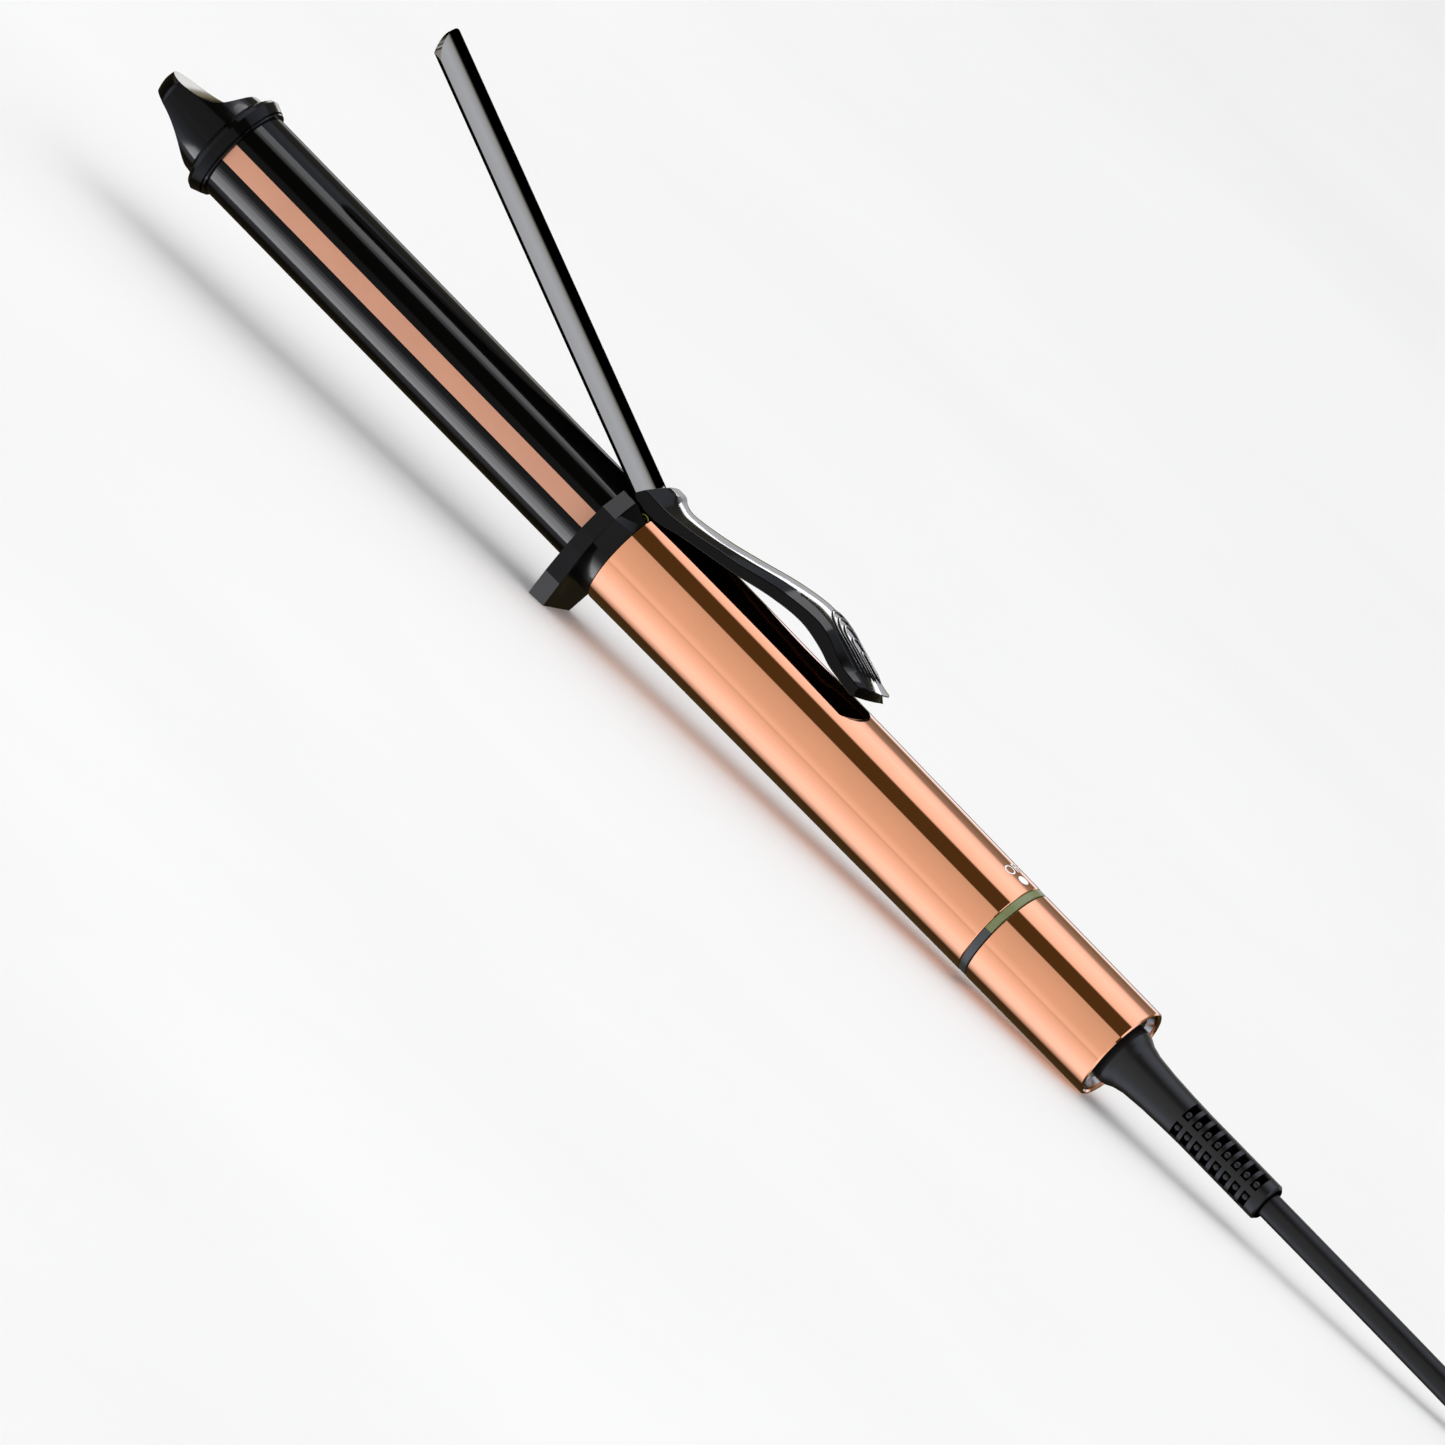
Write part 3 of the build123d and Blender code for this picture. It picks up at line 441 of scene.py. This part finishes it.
def lever_under(x, y):
    """Underside of the lever: hollowed across, and clear of the barrel and the handle."""
    low = height(LEVER_LOW, x)
    hollow = low + blended(3.2, 2.2, (x - 8) / 12) * (1 - (y / LEVER_HALF) ** 2)
    if x > GUARD_BACK_X:
        return max(hollow, math.sqrt(HANDLE_ROOM_R**2 - y * y))
    shut = math.sqrt(BARREL_ROOM_R**2 - y * y)
    return max(hollow, (shut + TURN_SINE * (TURN_X - x) - TURN_DROP) / TURN_COSINE)


def lever_place(x, y, z):
    """The lever's slanted front and rounded thumb end."""
    front = LEVER_FRONT + (z - SLANT_Z) * SLANT
    if x < SLANT_TO:
        x = front + (SLANT_TO - front) * (x - LEVER_FRONT) / (SLANT_TO - LEVER_FRONT)
    if x > ROUND_FROM:
        x -= ROUND_DEPTH * (abs(y) / LEVER_HALF) ** ROUND_POWER * (x - ROUND_FROM) / ROUND_LENGTH
    return x, y, z


def new_piece(name, points, faces, body, slot, node=None, smooth=35, place=on_iron):
    """Mesh piece, in millimetres, riding on a body, in the finish of a slot."""
    mesh = bpy.data.meshes.new(name)
    mesh.from_pydata([place(*p) for p in points], [], faces)
    work = bmesh.new()
    work.from_mesh(mesh)
    bmesh.ops.recalc_face_normals(work, faces=work.faces)
    for face in work.faces:
        face.smooth = True
    for edge in work.edges:
        edge.smooth = len(edge.link_faces) == 2 and edge.calc_face_angle(0) < math.radians(smooth)
    work.to_mesh(mesh)
    work.free()
    piece = bpy.data.objects.new(name, mesh)
    bpy.context.scene.collection.objects.link(piece)
    paint(piece, slot)
    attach(piece, body)
    if node:
        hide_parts(node)
    return piece


def lofted(rows):
    """Faces of a skin over rows of equally many points, with its two ends filled."""
    count = len(rows[0])
    faces = []
    for r in range(len(rows) - 1):
        for i in range(count):
            j = (i + 1) % count
            faces.append((r * count + i, r * count + j, (r + 1) * count + j, (r + 1) * count + i))
    faces.append(tuple(range(count)))
    faces.append(tuple((len(rows) - 1) * count + i for i in reversed(range(count))))
    return [point for row in rows for point in row], faces


def gathered(lofts):
    """Points and faces of several skins as one."""
    points, faces = [], []
    for more, skin in lofts:
        faces += [tuple(len(points) + i for i in face) for face in skin]
        points += more
    return points, faces


def soften(piece, width):
    """Small rounded edges, in millimetres, where faces meet sharply."""
    bevel = piece.modifiers.new("bevel", "BEVEL")
    bevel.width = width * MM
    bevel.segments = 2
    bevel.limit_method = "ANGLE"
    bevel.angle_limit = math.radians(30)
    bevel.harden_normals = False


# Each hinge ear: a ring about the pin, with a web up to the lever, between two distances from the middle.
PIN_X, PIN_Z, EAR_R = 4.9, 8.75, 1.7
EAR_WEB = [(3.2, 15.4), (6.1, 15.4)]
EAR_NEAR, EAR_FAR = 4.45, 6.65


def make_lever():
    """Thumb lever, with its hinge ears."""
    rows = []
    x = LEVER_FRONT
    while x <= LEVER_BACK:
        ys = lever_columns(height(LEVER_FLAT, x))
        top = [lever_place(x, y, lever_top(x, y)) for y in ys]
        under = [
            lever_place(x, y, min(lever_under(x, y), lever_top(x, y) - LEVER_THIN)) for y in reversed(ys)
        ]
        rows.append(top + under)
        x += 1.1 if x < 48 else 0.8
    points, faces = lofted(rows)
    lever = new_piece("thumb_lever_shell", points, faces, "clamp", "black_gloss", "thumb_lever", 28)
    soften(lever, EDGE_ROUND)
    for side in (-1, 1):
        ring = [(PIN_X + EAR_R * math.cos(a), PIN_Z + EAR_R * math.sin(a)) for a in half_circle(14)]
        outline = ring + EAR_WEB
        points, faces = lofted([[(px, side * y, pz) for px, pz in outline] for y in (EAR_NEAR, EAR_FAR)])
        new_piece(f"hinge_ear_{'near' if side < 0 else 'far'}", points, faces, "clamp", "black_gloss")


def half_circle(steps):
    """Angles round the lower half of a circle, from the right to the left."""
    return [-math.pi * k / steps for k in range(steps + 1)]


def lever_columns(flat):
    """Places across the lever, as many outside and inside the crown's shoulders whatever its width."""
    outside = [flat + (LEVER_HALF - flat) * k / 4 for k in (4, 3, 2, 1)]
    inside = [flat * k / 10 for k in range(-10, 11)]
    return [-y for y in outside] + inside + list(reversed(outside))


# Each ridge's bend at the front, and its half-width.
RIDGES = [(53.2, 7.4), (55.4, 5.9), (57.7, 4.4), (61.2, 2.9), (65.2, 1.5)]
RIDGE_BACK = 73.0


def ridge_path(start, half):
    """Places along one ridge: up its near side, round the bend and back."""
    bend = half * 0.95
    steps = 9
    path = [(RIDGE_BACK + 0.6 - 0.12 * half, -half)]
    path += [(start + bend + (RIDGE_BACK - start - bend) * k / 6, -half) for k in (5, 4, 3, 2, 1)]
    quarter = [math.pi * k / (2 * steps) for k in range(steps + 1)]
    path += [(start + bend * (1 - math.sin(a)), -half * math.cos(a)) for a in quarter]
    return path + [(x, -y) for x, y in reversed(path[:-1])]


def ridge(start, half):
    """Skin of one ridge, laid on the lever and thinned at its ends."""
    path = ridge_path(start, half)
    rows = []
    for index, (x, y) in enumerate(path):
        ahead, behind = path[min(index + 1, len(path) - 1)], path[max(index - 1, 0)]
        way = Vector((ahead[0] - behind[0], ahead[1] - behind[1], 0)).normalized()
        out = Vector((way.y, -way.x, 0))
        thin = 0.3 if index in (0, len(path) - 1) else 1.0
        row = []
        for k in range(8):
            angle = math.tau * k / 8
            spot = Vector((x, y, 0)) + out * (0.52 * thin * math.cos(angle))
            base = lever_top(spot.x, spot.y) - 0.08
            row.append(lever_place(spot.x, spot.y, base + 0.5 * thin * math.sin(angle)))
        rows.append(row)
    return lofted(rows)


def make_ridges():
    """Nested U-shaped grip ridges on the thumb pad, open towards the cord."""
    points, faces = gathered(ridge(start, half) for start, half in RIDGES)
    new_piece("thumb_ridges", points, faces, "clamp", "black_gloss", None, 80)


# ---- strain relief ----
NUB_R, NUB_OUT = 1.05, 4.5
NUB_ROWS, NUB_X, NUB_PITCH = 8, 203.4, 3.4
NUB_ANGLES = (24, 156, 204, 336)


def nub(x, degrees):
    """Skin of one small ball on the strain relief."""
    centre = Vector(on_round(x, NUB_OUT, degrees))
    rings = []
    for k in range(7):
        a = math.pi * (k + 0.5) / 7
        r = NUB_R * math.sin(a)
        around = [math.tau * n / 10 for n in range(10)]
        rings.append([
            tuple(centre + Vector((-NUB_R * math.cos(a), r * math.cos(b), r * math.sin(b)))) for b in around
        ])
    return lofted(rings)


def make_nubs():
    """Rounded nub at the inner end of each slot of the strain relief."""
    points, faces = gathered(
        nub(NUB_X + NUB_PITCH * row, degrees) for row in range(NUB_ROWS) for degrees in NUB_ANGLES
    )
    new_piece("relief_nubs", points, faces, "swivel", "relief_rubber", None, 80)


# ---- plug ----
# The plug's sections along the cord: distance from its back, half-width, half-height, and squareness.
PLUG_OUTLINE = [
    (-1.6, 6.3, 5.9, 2.0), (-0.2, 8.2, 6.1, 2.2), (1.2, 12.2, 6.4, 3.0), (3.0, 15.6, 6.7, 3.8),
    (5.0, 16.9, 6.8, 4.4), (9.0, 17.1, 6.8, 4.8), (13.0, 16.3, 6.8, 4.8), (17.0, 16.3, 6.8, 4.8),
    (21.0, 17.0, 6.8, 4.8), (24.0, 16.4, 6.8, 4.8), (29.0, 14.2, 6.8, 4.6), (32.6, 12.4, 6.7, 4.4),
    (33.7, 11.8, 6.3, 4.0), (34.0, 11.0, 5.6, 3.6),
]
NECK_RIBS, NECK_X, NECK_PITCH = 7, -18.9, 2.35
# Bars across the plug's top and underside: places from its back, half-thickness, half-height, distance out.
GRIP_PLACES = (9.0, 12.0, 15.0, 18.0, 21.0)
GRIP_THICK, GRIP_HIGH, GRIP_OUT = 0.6, 0.5, 6.68


def section(x, wide, high, square):
    """Rounded section of the plug at x from its back."""
    ring = []
    for k in range(48):
        a = math.tau * k / 48
        y = wide * math.copysign(abs(math.cos(a)) ** (2 / square), math.cos(a))
        z = high * math.copysign(abs(math.sin(a)) ** (2 / square), math.sin(a))
        ring.append((PLUG_X + x, PLUG_Y + y, PLUG_Z + z))
    return ring


def make_plug():
    """Rounded two-pin plug body with a pinched grip and a ribbed neck."""
    rows = [section(-19.0, 3.6, 3.6, 2.0)]
    for rib in range(NECK_RIBS):
        x = NECK_X + NECK_PITCH * rib
        r = 4.2 + 0.28 * rib
        for step, more in ((0.0, 0.0), (0.2, 0.35), (1.15, 0.45), (1.35, -0.25), (2.2, -0.2)):
            rows.append(section(x + step, r + more, r + more, 2.0))
    rows += [section(*row) for row in PLUG_OUTLINE]
    points, faces = lofted(rows)
    new_piece("plug_shell", points, faces, "iron", "black_plastic", "plug_body", 32, on_table)


def grip(x, side):
    """Skin of one bar across the plug, thinned at its ends."""
    rows = []
    for y in (-8.6, -8.2, -4.0, 0.0, 4.0, 8.2, 8.6):
        end = 0.3 if abs(y) > 8.5 else 1.0
        row = []
        for k in range(8):
            a = math.tau * k / 8
            along, out = GRIP_THICK * end * math.cos(a), GRIP_HIGH * end * math.sin(a)
            row.append((PLUG_X + x + along, PLUG_Y + y, PLUG_Z + side * GRIP_OUT + out))
        rows.append(row)
    return lofted(rows)


def make_grips():
    """Raised grip bars on the plug's top and underside."""
    points, faces = gathered(grip(x, side) for side in (-1, 1) for x in GRIP_PLACES)
    new_piece("plug_grips", points, faces, "iron", "black_plastic", None, 60, on_table)


# ---- marks ----
LABEL_X, LABEL_R, LABEL_SIZE = 131.2, 13.77, 4.3
DOT_X, DOT_R, DOT_HALF = 133.7, 13.76, 1.45
POINTER_X, POINTER_R, POINTER_HALF = 143.4, 13.70, 1.3
# Angles round the handle, in degrees: the first label, the step to the next, each dot before its label.
FIRST_MARK, MARK_STEP, DOT_BEFORE = 77.0, 50.0, 4.0
POINTER_AT = FIRST_MARK + 90.0


def make_label(text, degrees):
    """Printed label read upwards round the handle, its foot towards the cord."""
    data = bpy.data.curves.new("label", "FONT")
    data.body = text
    data.size = LABEL_SIZE
    data.align_x = "CENTER"
    flat = bpy.data.objects.new("label", data)
    bpy.context.scene.collection.objects.link(flat)
    bpy.context.view_layer.update()
    mesh = bpy.data.meshes.new_from_object(flat.evaluated_get(bpy.context.evaluated_depsgraph_get()))
    bpy.data.objects.remove(flat)
    work = bmesh.new()
    work.from_mesh(mesh)
    # Cut into narrow strips, so that it follows the round.
    for step in range(-14, 15):
        everything = work.verts[:] + work.edges[:] + work.faces[:]
        bmesh.ops.bisect_plane(work, geom=everything, plane_co=(step * 0.4, 0, 0), plane_no=(1, 0, 0))
    work.verts.index_update()
    points = [
        on_round(LABEL_X - v.co.y, LABEL_R, degrees + math.degrees(v.co.x / LABEL_R)) for v in work.verts
    ]
    faces = [tuple(v.index for v in face.verts) for face in work.faces]
    work.free()
    new_piece(f"label_{text}", points, faces, "iron", "white_print")


def make_dot(name, degrees, x, radius, half, body):
    """Printed dot on the round surface, in rings so that it follows the curve."""
    rings, steps = 4, 24
    points = [on_round(x, radius, degrees)]
    for ring in range(1, rings + 1):
        reach = half * ring / rings
        for k in range(steps):
            a = math.tau * k / steps
            turn = degrees + math.degrees(reach * math.sin(a) / radius)
            points.append(on_round(x + reach * math.cos(a), radius, turn))
    faces = [(0, 1 + k, 1 + (k + 1) % steps) for k in range(steps)]
    for ring in range(rings - 1):
        for k in range(steps):
            a, b = 1 + ring * steps + k, 1 + ring * steps + (k + 1) % steps
            faces.append((a, a + steps, b + steps, b))
    new_piece(name, points, faces, body, "white_print")


def make_marks():
    """Setting labels round the handle's tail, a dot by each, and the dial's own pointer dot."""
    for step, text in enumerate(("OFF", "150", "180", "210")):
        degrees = FIRST_MARK + MARK_STEP * step
        make_label(text, degrees)
        make_dot(f"dot_{text}", degrees - DOT_BEFORE, DOT_X, DOT_R, DOT_HALF, "iron")
    make_dot("dial_pointer", POINTER_AT, POINTER_X, POINTER_R, POINTER_HALF, "dial")


# ---- light and floor ----
# Brightness of the studio round the iron's axis, by the angle above its near side, in degrees.
STUDIO = [
    (-180, 0.035), (-113, 0.045), (-103, 0.8), (-90, 1.5), (-72, 1.60), (-56, 1.33), (-42, 1.12),
    (-36.5, 1.02), (-34.6, 0.84), (-32.6, 1.06), (-29, 1.18), (-22, 1.06), (-14, 0.95), (14, 0.86),
    (31, 0.77), (32.2, 0.07), (64.0, 0.07), (66.5, 1.2), (76, 1.42), (97, 1.6), (108, 1.45),
    (116, 1.2), (124, 0.38), (150, 0.16), (156, 0.9), (161, 1.4), (168, 0.5), (180, 0.2),
]
# Extra banks that only some polished black pieces mirror: from and to what angle, and how bright.
LOWER_BANKS = [(-91, -66, 6.0), (-91, -58, 5.0), (-91, -50, 2.4)]
UPPER_BANKS = [(66, 90, 3.2), (73, 90, 5.0)]
TIP_BANKS = [(47, 108, 12.0), (158, 175, 1.6)]
CREST_BANKS = [(149, 158, 9.0), (160, 176, 0.7)]
RIDGE_BANKS = [(90, 160, 9.0)]
BLACK_BANKS = [
    ("barrel", LOWER_BANKS + UPPER_BANKS),
    ("tip_cap", LOWER_BANKS + TIP_BANKS),
    ("guard_collar", LOWER_BANKS + UPPER_BANKS),
    ("thumb_lever_shell", LOWER_BANKS + UPPER_BANKS + CREST_BANKS),
    ("thumb_ridges", RIDGE_BANKS),
]
# How far out the banks stand, how long they are, and how far their middle is towards the barrel's tip.
BANK_REACH, BANK_LENGTH, BANK_AHEAD = 3.0, 1.7, 0.73
# Brightness of the even daylight, and what studio_tone takes as dark and as the start of cool.
DAYLIGHT, DARK_BELOW, COOL_FROM = 0.72, 0.3, 0.95


def make_world():
    """Soft, even daylight for matt surfaces, and banks of soft light with dark flags for glossy ones."""
    world = bpy.data.worlds.new("studio")
    world.use_nodes = True
    bpy.context.scene.world = world
    tree = world.node_tree
    tree.nodes.clear()

    def math_node(operation, first, second=None):
        node = tree.nodes.new("ShaderNodeMath")
        node.operation = operation
        for index, value in enumerate((first, second)):
            if isinstance(value, (int, float)):
                node.inputs[index].default_value = value
            elif value is not None:
                tree.links.new(value, node.inputs[index])
        return node.outputs[0]

    place = tree.nodes.new("ShaderNodeTexCoord")
    turn = tree.nodes.new("ShaderNodeVectorRotate")
    turn.rotation_type = "Y_AXIS"
    turn.inputs["Angle"].default_value = -TILT
    tree.links.new(place.outputs["Generated"], turn.inputs["Vector"])
    split = tree.nodes.new("ShaderNodeSeparateXYZ")
    tree.links.new(turn.outputs["Vector"], split.inputs[0])
    near = math_node("MULTIPLY", split.outputs["Y"], -1.0)
    angle = math_node("ARCTAN2", split.outputs["Z"], near)
    share = math_node("ADD", math_node("DIVIDE", angle, 2 * math.pi), 0.5)
    ramp = tree.nodes.new("ShaderNodeValToRGB")
    stops = ramp.color_ramp.elements
    while len(stops) < len(STUDIO):
        stops.new(0.5)
    for stop, (degrees, _) in zip(stops, STUDIO):
        stop.position = (degrees + 180) / 360
    for stop, (_, bright) in zip(stops, STUDIO):
        stop.color = studio_tone(bright)
    tree.links.new(share, ramp.inputs["Fac"])

    banks = tree.nodes.new("ShaderNodeBackground")
    tree.links.new(ramp.outputs["Color"], banks.inputs["Color"])
    plain = tree.nodes.new("ShaderNodeBackground")
    plain.inputs["Color"].default_value = (1, 1, 1, 1)
    plain.inputs["Strength"].default_value = DAYLIGHT
    path = tree.nodes.new("ShaderNodeLightPath")
    mix = tree.nodes.new("ShaderNodeMixShader")
    tree.links.new(path.outputs["Is Glossy Ray"], mix.inputs[0])
    tree.links.new(plain.outputs[0], mix.inputs[1])
    tree.links.new(banks.outputs[0], mix.inputs[2])
    out = tree.nodes.new("ShaderNodeOutputWorld")
    tree.links.new(mix.outputs[0], out.inputs["Surface"])


def studio_tone(bright):
    """Colour of a bank: bright ones a little cool, dark flags brown."""
    cool = min(max((bright - COOL_FROM) / 0.5, 0.0), 1.0)
    if bright < DARK_BELOW:
        return bright * 1.3, bright, bright * 0.4, 1
    return bright * (1 - 0.05 * cool), bright, bright * (1 + 0.20 * cool), 1


def make_bank(name, start, end, bright, mirrors):
    """Long strip light along the iron, linked to one collection alone."""
    middle = math.radians((start + end) / 2)
    width = 2 * BANK_REACH * math.tan(math.radians((end - start) / 2))
    data = bpy.data.lights.new(name, "AREA")
    data.shape = "RECTANGLE"
    data.size, data.size_y = BANK_LENGTH, width
    data.energy = bright * math.pi * BANK_LENGTH * width
    light = bpy.data.objects.new(name, data)
    bpy.context.scene.collection.objects.link(light)
    out = AROUND @ Vector((0, -math.cos(middle), math.sin(middle)))
    along = AROUND @ Vector((1, 0, 0))
    turn = Matrix((along, out.cross(along), out)).transposed().to_4x4()
    middle_at = on_iron(0, 0, 0) + out * BANK_REACH - along * BANK_AHEAD
    light.matrix_world = Matrix.Translation(middle_at) @ turn
    light.visible_camera = False
    light.visible_diffuse = False
    light.light_linking.receiver_collection = mirrors


def make_black_banks():
    """The strip lights of each polished black piece."""
    for number, (name, banks) in enumerate(BLACK_BANKS):
        mirrors = bpy.data.collections.new(f"mirrors_{number}")
        mirrors.objects.link(frame["nodes"].get(name) or bpy.data.objects[name])
        for step, (start, end, bright) in enumerate(banks):
            make_bank(f"bank_{number}_{step}", start, end, bright, mirrors)


def make_light(name, place, size, power):
    """Square soft light, turned to the middle of the scene, that glossy surfaces don't mirror."""
    data = bpy.data.lights.new(name, "AREA")
    data.shape = "SQUARE"
    data.size = size
    data.energy = power
    light = bpy.data.objects.new(name, data)
    bpy.context.scene.collection.objects.link(light)
    turn = Vector(place).to_track_quat("Z", "Y").to_matrix().to_4x4()
    light.matrix_world = Matrix.Translation(place) @ turn
    light.visible_glossy = False
    light.visible_camera = False


def make_floor():
    """Wide pale floor, which glossy surfaces don't mirror and which casts no shadow of its own."""
    half = 40.0
    corners = [(-half, -half, 0), (half, -half, 0), (half, half, 0), (-half, half, 0)]
    mesh = bpy.data.meshes.new("floor")
    mesh.from_pydata(corners, [], [(0, 1, 2, 3)])
    floor = bpy.data.objects.new("floor", mesh)
    bpy.context.scene.collection.objects.link(floor)
    pale = Nodes("floor_paper")
    pale.tint(pale.noise(3.0), (0.90, 0.90, 0.90), (0.93, 0.93, 0.93))
    pale.shader.inputs["Roughness"].default_value = 0.8
    pale.shader.inputs["Specular IOR Level"].default_value = 0.1
    mesh.materials.append(pale.material)
    floor.visible_glossy = False
    floor.visible_shadow = False


make_camera()
cord = make_cord()
dress_frame()
make_lever()
make_ridges()
make_nubs()
make_plug()
make_grips()
make_marks()
make_world()
make_light("key", (0.5, -1.1, 1.6), size=2.4, power=10)
make_light("fill", (-1.0, 0.8, 2.0), size=3.0, power=18)
make_black_banks()
make_floor()
bpy.context.scene.view_settings.view_transform = "Standard"
